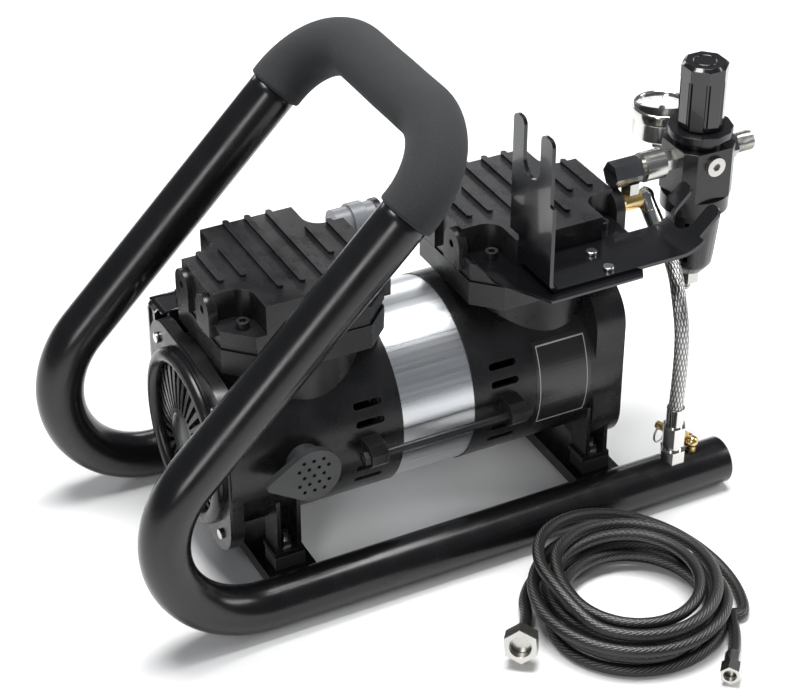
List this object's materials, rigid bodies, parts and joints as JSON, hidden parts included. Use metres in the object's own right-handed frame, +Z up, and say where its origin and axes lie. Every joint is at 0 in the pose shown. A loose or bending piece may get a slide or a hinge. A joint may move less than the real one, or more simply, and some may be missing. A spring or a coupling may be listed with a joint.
{
  "type": "airbrush compressor",
  "caption": "Twin-head oil-free airbrush compressor on a bent-tube frame that serves as its air tank, with regulator, gauge, airbrush holder and a coiled hose.",
  "frame": {"origin": "on the floor, under the middle of the compressor's box without its hose", "axes": "+X along the motor shaft towards the air outlet, -Y the front with the intake filter and the airbrush holder, +Z up"},
  "size_m": [0.5671, 0.461, 0.392],
  "materials": {
    "tube": "satin black powder coat",
    "foam": "matt closed-cell foam",
    "rubber": "matt",
    "zinc": "zinc plated",
    "chrome_screws": "bright nickel",
    "black_screws": "black oxide",
    "aluminium": "brushed and lacquered",
    "iron": "bare laminations and copper hidden inside",
    "steel": "plain",
    "black_cast": "satin black paint on die-cast aluminium",
    "black_cover": "satin black paint",
    "fan_plastic": "moulded",
    "cast_aluminium": "machined casting",
    "filter_plastic": "fine matt grain",
    "gloss_black": "gloss",
    "grey_can": "grey sleeve with a black cap",
    "brass": "machined",
    "dark_nickel": "dark nickel plate",
    "chrome": "bright chrome plate",
    "braid": "stainless braid",
    "regulator_black": "gloss black",
    "needle_black": "matt black",
    "gloss_coat": "glossy dip coat on steel plate",
    "hose_fabric": "black textile braid over rubber"
  },
  "bodies": {
    "compressor": {"front_side_tube": "tube", "rear_side_tube": "tube", "handle_tube": "tube", "foam_grip": "foam", "tube_end_caps": "tube", "cross_rails": "tube", "foot_bushes": "rubber", "foot_fasteners": "zinc", "machine_screws": "chrome_screws", "head_bolts": "black_screws", "tie_rods": "black_screws", "motor_band": "aluminium", "stator": "iron", "shaft_bearings": "steel", "left_housing": "black_cast", "right_housing": "black_cast", "left_fan_cover": "black_cover", "right_end_cover": "black_cover", "cylinder_liners": "cast_aluminium", "valve_plates": "cast_aluminium", "left_head": "black_cast", "right_head": "black_cast", "filter_neck": "filter_plastic", "filter_cover": "filter_plastic", "switch_box": "gloss_black", "capacitor": "grey_can", "outlet_nipple": "brass", "manifold": "dark_nickel", "hose_elbow": "chrome", "transfer_hose": "braid", "hose_end_fittings": "chrome", "safety_valve_body": "brass", "regulator_body": "regulator_black", "regulator_bonnet": "regulator_black", "range_spring": "steel", "port_fittings": "chrome", "outlet_fitting": "dark_nickel", "filter_bowl": "regulator_black", "pressure_gauge": "chrome", "holder_adapter": "gloss_coat", "airbrush_holder": "gloss_coat", "hose_coil": "hose_fabric", "hose_tail_inlet": "hose_fabric", "hose_tail_outlet": "hose_fabric", "hose_stem_inlet": "chrome", "hose_stem_outlet": "chrome"},
    "rotor_group": {"rotor": "iron", "cooling_fans": "fan_plastic", "eccentrics": "iron"},
    "left_piston": {"left_piston_rod": "cast_aluminium"},
    "right_piston": {"right_piston_rod": "cast_aluminium"},
    "pressure_screw": {"adjusting_screw": "steel"},
    "pressure_knob": {"regulator_knob": "gloss_black"},
    "needle": {"gauge_needle": "needle_black"},
    "relief_stem": {"safety_valve_stem": "brass"},
    "relief_ring": {"pull_ring": "steel"},
    "drain_stem": {"drain_valve": "chrome"},
    "switch_rocker": {"rocker_switch": "gloss_black"},
    "hose_inlet_nut": {"hose_nut_inlet": "chrome"},
    "hose_outlet_nut": {"hose_nut_outlet": "chrome"}
  },
  "joints": [
    {"name": "motor_spin", "type": "hinge", "parent": "compressor", "child": "rotor_group", "pos_m": [-0.0234, 0, 0.11], "axis": [1, 0, 0], "continuous": true},
    {"name": "left_piston_stroke", "type": "slide", "parent": "compressor", "child": "left_piston", "axis": [0, 0, 1], "range_m": [-0.009, 0.009]},
    {"name": "right_piston_stroke", "type": "slide", "parent": "compressor", "child": "right_piston", "axis": [0, 0, 1], "range_m": [-0.009, 0.009]},
    {"name": "pressure_screw_turn", "type": "hinge", "parent": "compressor", "child": "pressure_screw", "pos_m": [0.2341, -0.022, 0.3], "axis": [0, 0, 1], "range_deg": [-720, 720]},
    {"name": "pressure_knob_lift", "type": "slide", "parent": "pressure_screw", "child": "pressure_knob", "axis": [0, 0, 1], "range_m": [0, 0.003]},
    {"name": "gauge_needle_turn", "type": "hinge", "parent": "compressor", "child": "needle", "pos_m": [0.2341, 0.032, 0.2712], "axis": [0, 0, -1], "range_deg": [0, 270]},
    {"name": "relief_valve_pull", "type": "slide", "parent": "compressor", "child": "relief_stem", "axis": [-0.3502, 0.9367, 0], "range_m": [0, 0.003], "stiffness_N_per_m": 200},
    {"name": "relief_ring_swing", "type": "hinge", "parent": "relief_stem", "child": "relief_ring", "pos_m": [0.17879, -0.07923, 0.046], "axis": [0.9367, 0.3502, 0], "range_deg": [-40, 100]},
    {"name": "drain_valve_press", "type": "slide", "parent": "compressor", "child": "drain_stem", "axis": [0, 0, 1], "range_m": [0, 0.002], "stiffness_N_per_m": 200},
    {"name": "switch_rock", "type": "hinge", "parent": "compressor", "child": "switch_rocker", "pos_m": [-0.1609, 0.076, 0.183], "axis": [0, -1, 0], "range_deg": [0, 14]},
    {"name": "hose_inlet_nut_turn", "type": "hinge", "parent": "compressor", "child": "hose_inlet_nut", "pos_m": [-0.03815, -0.23313, 0.01888], "axis": [-0.5777, -0.784, 0.227], "continuous": true},
    {"name": "hose_outlet_nut_turn", "type": "hinge", "parent": "compressor", "child": "hose_outlet_nut", "pos_m": [0.08822, -0.31999, 0.00974], "axis": [-0.6436, -0.7643, 0.0402], "continuous": true}
  ],
  "couplings": [
    {"joint": "right_piston_stroke", "follows": "left_piston_stroke", "ratio": -1}
  ]
}
